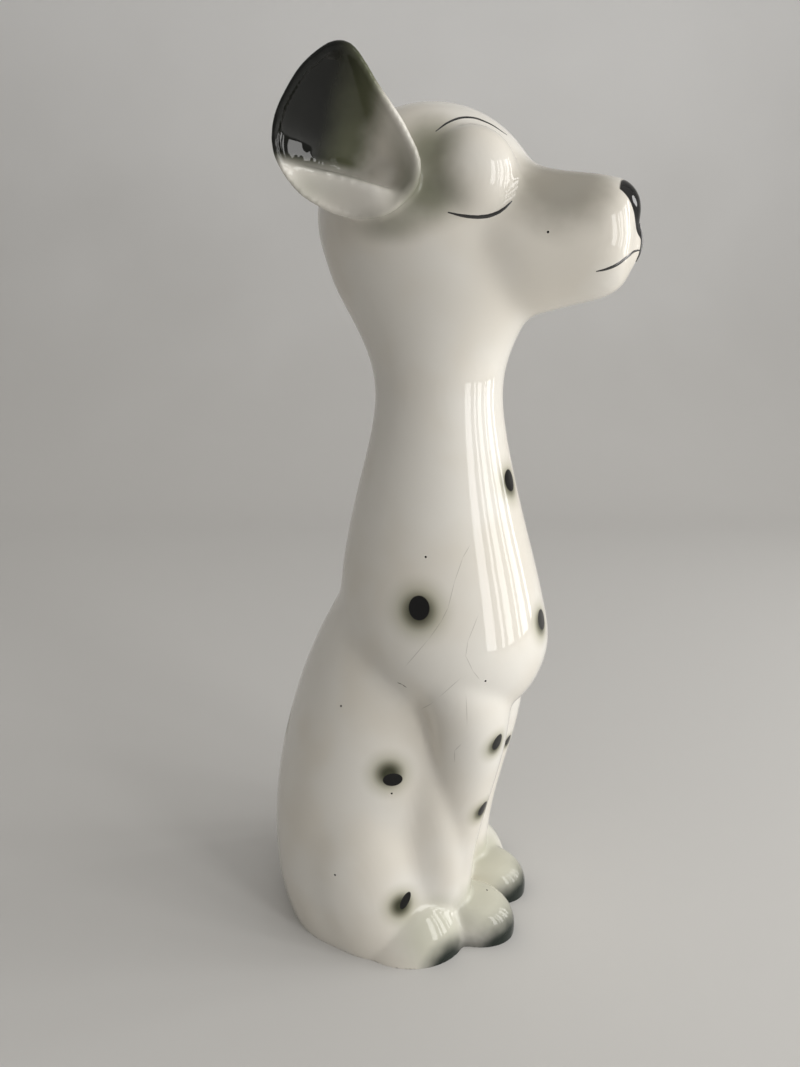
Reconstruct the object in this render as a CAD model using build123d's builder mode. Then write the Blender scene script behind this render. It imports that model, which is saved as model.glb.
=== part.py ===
from build123d import *
import math
import os

# A tall glazed earthenware dog, sitting upright on a long neck with its eyes closed.
# It is slip-cast in sections: a hollow body, a hollow head, two cupped ears, two forelegs and two hind feet.
# Each section is keyed to its neighbour by a spigot or a peg, stuck there with slip and glazed over.
# Frame: +X is the way the dog looks, +Y is its left side, +Z is up.
# The origin is on the table, below the middle of the figure's length and width. Lengths are millimetres.

# Casting
WALL = 5.0
LUTE_GAP = 0.2
BASE_FLOOR = 6.0
DRAIN_RADIUS = 8.0
FOOT_RING = 9.0
FOOT_RECESS = 1.5

# Neck and chest, turned about one axis that leans back from the chest to the neck seam.
# The turned form overruns the seam and is cut off level there.
NECK_X = 0.7
NECK_SEAM_Z = 248.0
NECK_RADIUS = 26.5
NECK_OVERRUN = 3.0
NECK_ROOT_Z = 196.0
NECK_ROOT_RADIUS = 37.0
CHEST_LEAN = 2.0
CHEST_Z = 140.0
CHEST_RADIUS = 45.5
CHEST_DROP = 37.0

# Spigot that keys the head into the neck
SPIGOT_LENGTH = 12.0
SPIGOT_WALL = 4.0
MOUTH_WALL = 4.0

# Rump and back, turned about an axis that leans forward
RUMP_X = -31.0
RUMP_Z = 38.0
RUMP_LEAN = 8.0
RUMP_RADIUS = 48.0
SEAT_RADIUS = 34.0
SEAT_TUCK = 8.0
SEAT_FLARE = 0.7
LOIN_RISE = 62.0
LOIN_RADIUS = 44.0
WITHERS_RISE = 112.0
WITHERS_RADIUS = 32.0
NAPE_RISE = 138.0
NAPE_RADIUS = 18.0
NAPE_TAPER = 0.7

# Thighs, turned about upright axes, widest a little above the table and rounded at the top
HAUNCH_X = -15.5
HAUNCH_Y = 20.0
HAUNCH_Z = 30.0
HAUNCH_RADIUS = 33.2
HAUNCH_FOOT_RADIUS = 30.5
HAUNCH_FLARE = 0.2
HAUNCH_TOP_Z = 101.0

# Forelegs and their paws
LEG_Y = 15.0
LEG_SPLIT = 0.6
LEG_TOP_X = 20.0
LEG_TOP_BURY = 12.0
LEG_TOP_RADIUS = 21.0
ANKLE_X = 11.5
ANKLE_Z = 14.0
ANKLE_RADIUS = 12.5
PAW_X = 25.0
PAW_Z = 7.5
PAW_LENGTH = 20.0
PAW_RADIUS = 14.0
LEG_PEG_X = 26.0
LEG_PEG_RADIUS = 5.0
LEG_PEG_LENGTH = 9.0

# Hind feet
FOOT_X = 6.0
FOOT_Y = 36.5
FOOT_Z = 10.0
FOOT_HEIGHT = 25.0
FOOT_RADIUS = 16.5
FOOT_LEAN = 25.0
FOOT_PEG_X = 7.0
FOOT_PEG_Z = 12.0
FOOT_PEG_RADIUS = 4.0
FOOT_PEG_ROOT = 5.0
FOOT_PEG_LENGTH = 6.5

# Head: the neck flares into a round skull, which is turned about one axis with the muzzle.
# Rises are above the neck seam, and runs are along the head's axis from the skull's middle.
THROAT_X = 0.0
THROAT_RISE = 24.0
THROAT_DEPTH = 31.5
THROAT_WIDTH = 29.0
JAW_X = -5.0
JAW_RISE = 48.0
JAW_DEPTH = 38.0
JAW_WIDTH = 33.0
SKULL_X = -4.5
SKULL_RISE = 70.0
SKULL_RADIUS = 42.0
SKULL_BACK = 46.0
HEAD_DIP = 8.4
BROW_RUN = 28.0
BROW_RADIUS = 36.0
STOP_RUN = 47.0
STOP_RADIUS = 23.5
MUZZLE_RUN = 66.0
MUZZLE_RADIUS = 21.5
MUZZLE_TIP = 17.0
NOSE_AHEAD = 11.0
NOSE_LIFT = 13.3
NOSE_RADIUS = 5.5
EYE_AHEAD = 26.5
EYE_LIFT = 7.5
EYE_SET_IN = 12.5
EYE_RADIUS = 16.5

# Ears: a pointed outline in a plane beside the skull, dished so that it opens outwards
EAR_AHEAD = 9.5
EAR_LIFT = 10.0
EAR_SET_IN = 1.0
EAR_TURN = 20.0
EAR_LEAN = 16.0
EAR_RIM_BACK = 20.0
EAR_RIM_RISE = 35.0
EAR_TIP_BACK = 28.0
EAR_TIP_RISE = 41.5
EAR_CROWN_BACK = 38.0
EAR_CROWN_RISE = 37.5
EAR_REAR_BACK = 56.0
EAR_REAR_RISE = 12.0
EAR_HEEL_BACK = 44.0
EAR_HEEL_DROP = 10.0
EAR_BASE_BACK = 23.0
EAR_BASE_DROP = 17.0
EAR_THICKNESS = 5.0
EAR_DISH_RADIUS = 50.0
EAR_DISH_BACK = 31.0
EAR_DISH_RISE = 14.0
EAR_DISH_DEPTH = 9.0
EAR_DISH_OUT = EAR_DISH_RADIUS - EAR_DISH_DEPTH
EAR_PEG_RADIUS = 5.0
EAR_PEG_ROOT = 3.5
EAR_PEG_LENGTH = 11.0
EAR_PEG_BACK = 12.0
EAR_PEG_DROP = 2.0

# Rounded ends of the turned forms: the radius of the small flat at the pole, and the arm of a quarter circle
# drawn as one cubic curve, as a share of its radius
END_FLAT = 1.0
ROUND = 4 / 3 * (math.sqrt(2) - 1)

os.makedirs("parts", exist_ok=True)


def axis_plane(origin, lean):
    """A plane whose y direction is an axis leaning forward from upright by so many degrees."""
    angle = math.radians(lean)
    return Plane(origin=origin, x_dir=(math.cos(angle), 0, -math.sin(angle)), z_dir=(0, -1, 0))


def round_end(radius, height, length):
    """Close a profile from a radius at one height: a quarter oval of a given length, then a small flat."""
    end = height + length
    oval = Bezier(
        (radius, height),
        (radius, height + ROUND * length),
        (END_FLAT + ROUND * (radius - END_FLAT), end),
        (END_FLAT, end),
    )
    return Line(oval @ 1, (0, end))


def flat_end(radius, height):
    """Close a profile from a radius at one height straight in to the axis."""
    return Line((radius, height), (0, height))


def turned(plane, profile, tangents, start_length=0.0, end_length=0.0):
    """A solid turned about a plane's y axis, its side a smooth line through points of radius and height.

    An end with a length of its own is rounded over that length, and the others are flat.
    """
    with BuildPart() as form:
        with BuildSketch(plane):
            with BuildLine():
                Spline(*profile, tangents=tangents)
                first = round_end(*profile[0], -start_length) if start_length else flat_end(*profile[0])
                last = round_end(*profile[-1], end_length) if end_length else flat_end(*profile[-1])
                Line(first @ 1, last @ 1)
            make_face()
        revolve(axis=Axis(plane.origin, plane.y_dir))
    return form.part


def egg(plane, radius, half_length):
    """A ball drawn out or flattened along a plane's y axis."""
    with BuildPart() as form:
        with BuildSketch(plane):
            with BuildLine():
                near_end = round_end(radius, 0, -half_length)
                far_end = round_end(radius, 0, half_length)
                Line(near_end @ 1, far_end @ 1)
            make_face()
        revolve(axis=Axis(plane.origin, plane.y_dir))
    return form.part


def chest_form(grow, top):
    """Neck and chest from a little above a given height, turned about an axis that points down and forward.

    The lower end is rounded like a bowl.
    """
    return turned(
        axis_plane((NECK_X, 0, NECK_SEAM_Z), 180 - CHEST_LEAN),
        [
            (NECK_RADIUS + grow, NECK_SEAM_Z - top - NECK_OVERRUN),
            (NECK_ROOT_RADIUS + grow, NECK_SEAM_Z - NECK_ROOT_Z),
            (CHEST_RADIUS + grow, NECK_SEAM_Z - CHEST_Z),
        ],
        [(0, 1), (0, 1)],
        end_length=CHEST_DROP + grow,
    )


def rump_form(grow):
    """Seat, rump and back, ending inside the neck."""
    return turned(
        axis_plane((RUMP_X, 0, RUMP_Z), RUMP_LEAN),
        [
            (SEAT_RADIUS + grow, -RUMP_Z - SEAT_TUCK),
            (RUMP_RADIUS + grow, 0),
            (LOIN_RADIUS + grow, LOIN_RISE),
            (WITHERS_RADIUS + grow, WITHERS_RISE),
            (NAPE_RADIUS + grow, NAPE_RISE),
        ],
        [(SEAT_FLARE, 1), (-NAPE_TAPER, 1)],
    )


def haunch_form(side, grow):
    """One thigh at the side of the rump, from the table up."""
    return turned(
        axis_plane((HAUNCH_X, side * HAUNCH_Y, 0), 0),
        [(HAUNCH_FOOT_RADIUS + grow, 0), (HAUNCH_RADIUS + grow, HAUNCH_Z)],
        [(HAUNCH_FLARE, 1), (0, 1)],
        end_length=HAUNCH_TOP_Z - HAUNCH_Z + grow,
    )


def body_form(grow, top, floor):
    """Outside of the body casting, or its inside where grow is negative."""
    with BuildPart() as form:
        add(chest_form(grow, top))
        add(rump_form(grow))
        for side in (-1, 1):
            add(haunch_form(side, grow))
        split(bisect_by=Plane.XY.offset(floor), keep=Keep.TOP)
        split(bisect_by=Plane.XY.offset(top), keep=Keep.BOTTOM)
    return form.part


def head_plane():
    """Plane along the head's axis: y runs from the skull's middle to the muzzle's end, and x down."""
    return axis_plane((SKULL_X, 0, NECK_SEAM_Z + SKULL_RISE), 90 + HEAD_DIP)


def head_form(grow, bottom):
    """Outside of the head casting above a given height, or its inside where grow is negative."""
    skull = turned(
        head_plane(),
        [
            (SKULL_RADIUS + grow, 0),
            (BROW_RADIUS + grow, BROW_RUN),
            (STOP_RADIUS + grow, STOP_RUN),
            (MUZZLE_RADIUS + grow, MUZZLE_RUN),
        ],
        [(0, 1), (0, 1)],
        start_length=SKULL_BACK + grow,
        end_length=MUZZLE_TIP + grow,
    )
    with BuildPart() as form:
        for height, x, half_depth, half_width in (
            (bottom, NECK_X, NECK_RADIUS, NECK_RADIUS),
            (NECK_SEAM_Z + THROAT_RISE, THROAT_X, THROAT_DEPTH, THROAT_WIDTH),
            (NECK_SEAM_Z + JAW_RISE, JAW_X, JAW_DEPTH, JAW_WIDTH),
        ):
            with BuildSketch(Plane.XY.offset(height)):
                with Locations((x, 0)):
                    Ellipse(half_depth + grow, half_width + grow)
        loft()
        add(skull)
        for side in (-1, 1):
            eye_y = side * (BROW_RADIUS - EYE_SET_IN)
            with Locations((SKULL_X + EYE_AHEAD, eye_y, NECK_SEAM_Z + SKULL_RISE + EYE_LIFT)):
                Sphere(EYE_RADIUS + grow)
    return form.part


def chest_underside(x, y):
    """Height of the chest's rounded underside above a point of the table, its small lean left out."""
    chest_x = NECK_X + (NECK_SEAM_Z - CHEST_Z) * math.tan(math.radians(CHEST_LEAN))
    reach = math.hypot(x - chest_x, y) / CHEST_RADIUS
    return CHEST_Z - CHEST_DROP * math.sqrt(1 - reach**2)


def haunch_side(x, z):
    """How far out from the middle the thigh's surface lies at a place along and up, below its widest."""
    level_radius = HAUNCH_FOOT_RADIUS + z / HAUNCH_Z * (HAUNCH_RADIUS - HAUNCH_FOOT_RADIUS)
    return HAUNCH_Y + math.sqrt(level_radius**2 - (x - HAUNCH_X) ** 2)


def foreleg_form(grow):
    """Right foreleg before it is cut: a column that leans back to the ankle, and the egg of its paw."""
    rise = chest_underside(LEG_TOP_X, LEG_Y) + LEG_TOP_BURY - ANKLE_Z
    length = math.hypot(LEG_TOP_X - ANKLE_X, rise)
    lean = math.degrees(math.atan2(LEG_TOP_X - ANKLE_X, rise))
    column = turned(
        axis_plane((ANKLE_X, -LEG_Y, ANKLE_Z), lean),
        [
            (ANKLE_RADIUS + grow, -ANKLE_Z - ANKLE_RADIUS),
            (ANKLE_RADIUS + grow, 0),
            (LEG_TOP_RADIUS + grow, length),
        ],
        [(0, 1), (0, 1)],
    )
    with BuildPart() as form:
        add(column)
        add(egg(axis_plane((PAW_X, -LEG_Y, PAW_Z), 90), PAW_RADIUS + grow, PAW_LENGTH + grow))
    return form.part


def rod(plane, radius, length):
    """A round rod that starts on a plane and runs along its normal."""
    with BuildPart() as form:
        with BuildSketch(plane):
            Circle(radius)
        extrude(amount=length)
    return form.part


def leg_peg(grow):
    """Upright peg from the right foreleg's top into the chest."""
    underside = chest_underside(LEG_PEG_X, LEG_Y)
    plane = Plane.XY.move(Location((LEG_PEG_X, -LEG_Y, underside - LEG_PEG_LENGTH - grow)))
    return rod(plane, LEG_PEG_RADIUS + grow, 2 * LEG_PEG_LENGTH + 2 * grow)


def foot_peg(grow):
    """Level peg from the right hind foot into the thigh."""
    side = haunch_side(FOOT_PEG_X, FOOT_PEG_Z)
    plane = Plane(
        origin=(FOOT_PEG_X, -side - FOOT_PEG_ROOT - grow, FOOT_PEG_Z), x_dir=(1, 0, 0), z_dir=(0, 1, 0)
    )
    return rod(plane, FOOT_PEG_RADIUS + grow, FOOT_PEG_ROOT + FOOT_PEG_LENGTH + 2 * grow)


def ear_plane():
    """Plane of the right ear: x runs forward, y up, and its normal points out and down from the skull."""
    turn = math.radians(EAR_TURN)
    lean = math.radians(EAR_LEAN)
    outward = (math.sin(turn) * math.cos(lean), -math.cos(turn) * math.cos(lean), -math.sin(lean))
    root = (SKULL_X + EAR_AHEAD, EAR_SET_IN - SKULL_RADIUS, NECK_SEAM_Z + SKULL_RISE + EAR_LIFT)
    return Plane(origin=root, x_dir=(math.cos(turn), math.sin(turn), 0), z_dir=outward)


def ear_peg(grow):
    """Peg from the back of the right ear's dish into the skull."""
    aside = math.hypot(EAR_DISH_BACK - EAR_PEG_BACK, EAR_DISH_RISE + EAR_PEG_DROP)
    dish_face = EAR_DISH_OUT - math.sqrt(EAR_DISH_RADIUS**2 - aside**2)
    start = dish_face - EAR_PEG_ROOT + grow
    plane = ear_plane()
    inward = Plane(
        origin=plane.from_local_coords((-EAR_PEG_BACK, -EAR_PEG_DROP, start)),
        x_dir=plane.x_dir,
        z_dir=-plane.z_dir,
    )
    return rod(inward, EAR_PEG_RADIUS + grow, EAR_PEG_LENGTH + 2 * grow)


# Body casting: a hollow shell, closed below but for its drain, with a round mouth at the neck for the spigot
seat_x = RUMP_X - RUMP_Z * math.tan(math.radians(RUMP_LEAN))
mouth_radius = NECK_RADIUS - MOUTH_WALL
with BuildPart() as body_casting:
    add(body_form(0.0, NECK_SEAM_Z, 0.0))
    add(body_form(-WALL, NECK_SEAM_Z - SPIGOT_LENGTH, BASE_FLOOR), mode=Mode.SUBTRACT)
    with BuildSketch(Plane.XY.offset(NECK_SEAM_Z)):
        with Locations((NECK_X, 0)):
            Circle(mouth_radius)
    extrude(amount=-SPIGOT_LENGTH, mode=Mode.SUBTRACT)
    with BuildSketch(Plane.XY):
        with Locations((seat_x, 0)):
            Circle(SEAT_RADIUS - FOOT_RING)
    extrude(amount=FOOT_RECESS, mode=Mode.SUBTRACT)
    with BuildSketch(Plane.XY):
        with Locations((seat_x, 0)):
            Circle(DRAIN_RADIUS)
    extrude(amount=BASE_FLOOR, mode=Mode.SUBTRACT)
    for socket in (leg_peg(LUTE_GAP), foot_peg(LUTE_GAP)):
        add(socket, mode=Mode.SUBTRACT)
        add(mirror(socket, about=Plane.XZ, mode=Mode.PRIVATE), mode=Mode.SUBTRACT)

# Head casting: a hollow skull and muzzle on a flared neck, with a tube below that enters the body's mouth
spigot_radius = mouth_radius - LUTE_GAP
with BuildPart() as head_casting:
    add(head_form(0.0, NECK_SEAM_Z))
    with Locations(head_plane().from_local_coords((-NOSE_LIFT, MUZZLE_RUN + NOSE_AHEAD, 0))):
        Sphere(NOSE_RADIUS)
    with BuildSketch(Plane.XY.offset(NECK_SEAM_Z + WALL / 2)):
        with Locations((NECK_X, 0)):
            Circle(spigot_radius)
    extrude(amount=-SPIGOT_LENGTH - WALL / 2 + LUTE_GAP)
    add(head_form(-WALL, NECK_SEAM_Z + WALL), mode=Mode.SUBTRACT)
    with BuildSketch(Plane.XY.offset(NECK_SEAM_Z - SPIGOT_LENGTH)):
        with Locations((NECK_X, 0)):
            Circle(spigot_radius - SPIGOT_WALL)
    extrude(amount=SPIGOT_LENGTH + WALL, mode=Mode.SUBTRACT)
    add(ear_peg(LUTE_GAP), mode=Mode.SUBTRACT)
    add(mirror(ear_peg(LUTE_GAP), about=Plane.XZ, mode=Mode.PRIVATE), mode=Mode.SUBTRACT)

# Right foreleg with its paw, cut to the body, at the middle and flat on the table
body_bed = body_form(LUTE_GAP, NECK_SEAM_Z, 0.0)
with BuildPart() as right_foreleg:
    add(foreleg_form(0.0))
    split(bisect_by=Plane.XY, keep=Keep.TOP)
    split(bisect_by=Plane.XZ.offset(LEG_SPLIT / 2), keep=Keep.TOP)
    add(body_bed, mode=Mode.SUBTRACT)
    add(leg_peg(0.0))

# Right hind foot: an upright egg that leans forward, cut to the thigh and the foreleg and flat on the table
with BuildPart() as right_hind_foot:
    add(egg(axis_plane((FOOT_X, -FOOT_Y, FOOT_Z), FOOT_LEAN), FOOT_RADIUS, FOOT_HEIGHT))
    split(bisect_by=Plane.XY, keep=Keep.TOP)
    add(body_bed, mode=Mode.SUBTRACT)
    add(foreleg_form(LUTE_GAP), mode=Mode.SUBTRACT)
    add(foot_peg(0.0))

# Right ear: the outline cut through a dished shell, then cut to the skull
dish_centre = ear_plane().from_local_coords((-EAR_DISH_BACK, EAR_DISH_RISE, EAR_DISH_OUT))
with BuildPart() as right_ear:
    with BuildSketch(ear_plane()):
        with BuildLine():
            front_rim = Line((0, 0), (-EAR_RIM_BACK, EAR_RIM_RISE))
            tip = ThreePointArc(
                front_rim @ 1, (-EAR_TIP_BACK, EAR_TIP_RISE), (-EAR_CROWN_BACK, EAR_CROWN_RISE)
            )
            rear = ThreePointArc(
                tip @ 1, (-EAR_REAR_BACK, EAR_REAR_RISE), (-EAR_HEEL_BACK, -EAR_HEEL_DROP)
            )
            ThreePointArc(rear @ 1, (-EAR_BASE_BACK, -EAR_BASE_DROP), front_rim @ 0)
        make_face()
    extrude(amount=EAR_DISH_OUT, both=True)
    with Locations(dish_centre):
        Sphere(EAR_DISH_RADIUS + EAR_THICKNESS, mode=Mode.INTERSECT)
        Sphere(EAR_DISH_RADIUS, mode=Mode.SUBTRACT)
    add(head_form(LUTE_GAP, NECK_SEAM_Z), mode=Mode.SUBTRACT)
    add(ear_peg(0.0))

# The left side is the right side's mirror image
with BuildPart() as left_foreleg:
    add(mirror(right_foreleg.part, about=Plane.XZ, mode=Mode.PRIVATE))
with BuildPart() as left_hind_foot:
    add(mirror(right_hind_foot.part, about=Plane.XZ, mode=Mode.PRIVATE))
with BuildPart() as left_ear:
    add(mirror(right_ear.part, about=Plane.XZ, mode=Mode.PRIVATE))

body_casting.part.label = "body_casting"
export_step(body_casting.part, "parts/body_casting.step")

head_casting.part.label = "head_casting"
export_step(head_casting.part, "parts/head_casting.step")

right_foreleg.part.label = "right_foreleg"
export_step(right_foreleg.part, "parts/right_foreleg.step")

left_foreleg.part.label = "left_foreleg"
export_step(left_foreleg.part, "parts/left_foreleg.step")

right_hind_foot.part.label = "right_hind_foot"
export_step(right_hind_foot.part, "parts/right_hind_foot.step")

left_hind_foot.part.label = "left_hind_foot"
export_step(left_hind_foot.part, "parts/left_hind_foot.step")

right_ear.part.label = "right_ear"
export_step(right_ear.part, "parts/right_ear.step")

left_ear.part.label = "left_ear"
export_step(left_ear.part, "parts/left_ear.step")
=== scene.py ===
# %% [markdown]
# # A glazed earthenware dog
# The figure is one smooth, glossy skin over eight luted castings. The lesson models it as a potter would:
# lumps of clay are pressed together and thumbed smooth, the last thin coat of glaze rounds every crease,
# and the finished skin is then cut where the castings meet, so that each casting is a piece of its own.

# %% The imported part
import math

import bpy
from mathutils import Matrix, Vector


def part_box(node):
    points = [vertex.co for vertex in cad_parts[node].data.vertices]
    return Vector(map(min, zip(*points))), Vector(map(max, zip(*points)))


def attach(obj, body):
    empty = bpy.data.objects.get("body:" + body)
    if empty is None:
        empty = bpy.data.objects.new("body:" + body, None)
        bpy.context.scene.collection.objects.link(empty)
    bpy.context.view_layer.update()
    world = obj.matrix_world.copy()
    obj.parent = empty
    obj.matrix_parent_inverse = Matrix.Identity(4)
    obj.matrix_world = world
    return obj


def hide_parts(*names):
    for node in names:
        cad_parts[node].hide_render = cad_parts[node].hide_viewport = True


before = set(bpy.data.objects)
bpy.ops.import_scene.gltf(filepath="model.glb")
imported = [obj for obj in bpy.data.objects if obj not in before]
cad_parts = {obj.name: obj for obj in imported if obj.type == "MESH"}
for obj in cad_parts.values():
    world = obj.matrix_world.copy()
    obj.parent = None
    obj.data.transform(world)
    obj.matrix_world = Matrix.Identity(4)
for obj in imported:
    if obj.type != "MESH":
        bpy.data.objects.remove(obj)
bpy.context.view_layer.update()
MM = 0.001
NECK_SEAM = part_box("body_casting")[1].z / MM
print("neck seam at", round(NECK_SEAM, 1), "mm")

# %% [markdown]
# ## The camera
# The camera stands where the photograph was taken: close, a little in front of the dog's right side and level
# with its muzzle, looking down. It comes first, because painted lines and spots are placed through it. A
# pixel of the photograph is turned into a ray, and the ray finds the glaze.

# %% The photograph's viewpoint
PHOTO_WIDE, PHOTO_HIGH = 800, 1067
FOCAL_PIXELS = 809
CAMERA_PLACE = Vector((93.4, -338.0, 273.0))
CAMERA_AZIMUTH = 18
CAMERA_DIP = 14

bpy.ops.object.camera_add(location=CAMERA_PLACE * MM)
camera = bpy.context.object
camera.name = "photo_camera"
camera.rotation_euler = (math.radians(90 - CAMERA_DIP), 0, math.radians(CAMERA_AZIMUTH))
camera.data.sensor_width = 36
camera.data.lens = camera.data.sensor_width * FOCAL_PIXELS / PHOTO_HIGH
camera.data.clip_start = 0.01
bpy.context.scene.camera = camera
bpy.context.view_layer.update()


def photo_ray(pixel):
    """Direction from the camera through a pixel of the photograph."""
    across = (pixel[0] - PHOTO_WIDE / 2) / FOCAL_PIXELS
    down = (pixel[1] - PHOTO_HIGH / 2) / FOCAL_PIXELS
    return (camera.matrix_world.to_3x3() @ Vector((across, -down, -1))).normalized()


print("lens:", round(camera.data.lens, 2), "mm")

# %% [markdown]
# ## Clay tools
# Two lumps are enough for the whole figure. A ball is a sphere pressed to three half sizes. A column is a
# disc drawn up ring by ring with extrude and resize, as a pot is thrown. Kneading joins lumps with a voxel
# remesh, which leaves no seam inside, and a smooth modifier works like a wet thumb. Sculpting by brush would
# give the same forms, but lumps with sizes can be read, measured and changed.

# %% Picking
def clear_selection():
    """Leave edit mode and deselect everything."""
    if bpy.context.mode != "OBJECT":
        bpy.ops.object.mode_set(mode="OBJECT")
    bpy.ops.object.select_all(action="DESELECT")


def pick(piece):
    """Make one object the only selected one."""
    clear_selection()
    piece.select_set(True)
    bpy.context.view_layer.objects.active = piece
    return piece


print("picking tools ready")

# %% Ball and column
RING_SIDES = 64


def degrees(turn):
    """Three angles in degrees as a rotation."""
    return [math.radians(angle) for angle in turn]


def ball(name, middle, half, turn=(0, 0, 0)):
    """A ball of clay pressed to half sizes along its own axes, then turned."""
    clear_selection()
    bpy.ops.mesh.primitive_uv_sphere_add(
        segments=RING_SIDES,
        ring_count=RING_SIDES // 2,
        radius=MM,
        location=Vector(middle) * MM,
        rotation=degrees(turn),
        scale=half,
    )
    lump = bpy.context.object
    lump.name = name
    bpy.ops.object.transform_apply(location=True, rotation=True, scale=True)
    return lump


def column(name, rings, y=0, turn=(0, 0, 0)):
    """A column drawn up ring by ring: height, middle along X, half depth along X and half width along Y."""
    clear_selection()
    height, x, depth, width = rings[0]
    bpy.ops.mesh.primitive_circle_add(
        vertices=RING_SIDES, radius=MM, fill_type="NGON", location=Vector((x, y, height)) * MM
    )
    lump = bpy.context.object
    lump.name = name
    bpy.ops.object.transform_apply(location=True, rotation=False, scale=False)
    bpy.ops.object.mode_set(mode="EDIT")
    bpy.ops.mesh.select_all(action="SELECT")
    bpy.ops.transform.resize(value=(depth, width, 1), center_override=Vector((x, y, height)) * MM)
    for next_height, next_x, next_depth, next_width in rings[1:]:
        step = Vector((next_x - x, 0, next_height - height)) * MM
        bpy.ops.mesh.extrude_region_move(TRANSFORM_OT_translate={"value": step})
        height, x = next_height, next_x
        stretch = (next_depth / depth, next_width / width, 1)
        bpy.ops.transform.resize(value=stretch, center_override=Vector((x, y, height)) * MM)
        depth, width = next_depth, next_width
    bpy.ops.mesh.select_all(action="SELECT")
    bpy.ops.mesh.normals_make_consistent(inside=False)
    bpy.ops.object.mode_set(mode="OBJECT")
    lump.rotation_euler = degrees(turn)
    bpy.ops.object.transform_apply(location=False, rotation=True, scale=False)
    bpy.ops.object.modifier_add(type="SUBSURF")
    lump.modifiers[-1].levels = 2
    lump.modifiers[-1].render_levels = 2
    bpy.ops.object.modifier_apply(modifier=lump.modifiers[-1].name)
    return lump


print("lumps have", RING_SIDES, "sides")

# %% Kneading
def knead(name, lumps, grain, rounds):
    """Press lumps into one skin with a given grain in mm, and thumb it smooth for some rounds."""
    clear_selection()
    for lump in lumps:
        lump.select_set(True)
    bpy.context.view_layer.objects.active = lumps[0]
    bpy.ops.object.join()
    clay = bpy.context.object
    clay.name = name
    bpy.ops.object.modifier_add(type="REMESH")
    press = clay.modifiers[-1]
    press.mode = "VOXEL"
    press.voxel_size = grain * MM
    press.use_smooth_shade = True
    bpy.ops.object.modifier_apply(modifier=press.name)
    bpy.ops.object.modifier_add(type="SMOOTH")
    thumb = clay.modifiers[-1]
    thumb.factor = 0.5
    thumb.iterations = rounds
    bpy.ops.object.modifier_apply(modifier=thumb.name)
    print(name, "has", len(clay.data.polygons), "faces")
    return clay


def fatten(clay, amount):
    """Give back what smoothing took away, in mm along the normals."""
    pick(clay)
    bpy.ops.object.mode_set(mode="EDIT")
    bpy.ops.mesh.select_all(action="SELECT")
    bpy.ops.transform.shrink_fatten(value=amount * MM)
    bpy.ops.object.mode_set(mode="OBJECT")


print("kneading tools ready")

# %% [markdown]
# ## Body and head
# The long neck swells into a chest like an egg that leans forward, and its lower rear edge stands a little
# proud of the back. The back and rump are a second column, leaning the other way, and two thighs are pressed
# against its sides, with a little clay in front of each, where it meets the leg. Above, the neck flares into
# a nearly round skull, and a blunt column laid along X is the muzzle. Much smoothing turns the joins into the
# soft valleys that the glaze shows. The columns run on below the floor, so that the smoothing doesn't round
# the foot, and the skin is cut there at the end.

# %% Neck, chest and back
neck_and_chest = column(
    "neck_and_chest",
    [
        (103, 16, 9, 9),
        (107, 15.5, 16, 17),
        (112, 15, 23.5, 26),
        (117, 13.5, 30, 33),
        (124, 11.6, 36, 39),
        (132, 9, 41.5, 43),
        (141, 6.5, 45.5, 44.5),
        (150, 3.8, 46.3, 43.8),
        (165, 2.4, 44.3, 41),
        (180, 1.4, 41.2, 38),
        (196, 0.8, 37.2, 34.4),
        (212, 0.7, 33.2, 31),
        (230, 1.1, 28.7, 27),
        (246, 1.1, 26.1, 24.8),
        (256, 0.9, 27.1, 25.4),
        (265, 0.6, 29.4, 26.8),
        (279, 0.5, 36.5, 29.5),
        (292, -1, 43.3, 33),
        (304, -3, 45, 34.5),
        (316, -4, 38, 30),
    ],
)
rump = column(
    "rump",
    [
        (-16, -29, 35, 44),
        (-6, -29, 38.5, 47),
        (0, -29.5, 40.5, 48.5),
        (6, -30, 42.5, 49.5),
        (18, -31, 45.5, 50.3),
        (40, -31, 47.3, 49),
        (72, -29, 46.3, 46),
        (100, -25, 43.3, 43),
        (128, -20, 38.8, 37.5),
        (150, -14.5, 33, 31),
        (166, -11, 27, 25),
        (178, -9, 18, 17),
    ],
)
print("columns:", [lump.name for lump in (neck_and_chest, rump)])

# %% Thighs
THIGH_Y = 22
thigh_rings = [
    (-16, -17.5, 25, 24),
    (-6, -17, 29.5, 27.5),
    (0, -17, 31.3, 29.4),
    (7, -17.5, 32.4, 30.8),
    (15, -20, 32.8, 31.6),
    (26, -23.5, 32.2, 31.8),
    (40, -24.5, 31, 31),
    (52, -24.5, 28.8, 29),
    (63, -24.5, 25.6, 25.8),
    (74, -24, 21, 21.5),
    (83, -24, 15.5, 15.5),
    (89, -24, 9, 9),
]
thighs = [column(f"thigh_{side}", thigh_rings, y=side * THIGH_Y) for side in (-1, 1)]
calves = [ball(f"calf_{side}", (6.5, side * 22, 48), (16, 14.5, 54)) for side in (-1, 1)]
print("thighs reach", round(max(v.co.y for v in thighs[1].data.vertices) / MM, 1), "mm out")

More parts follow.
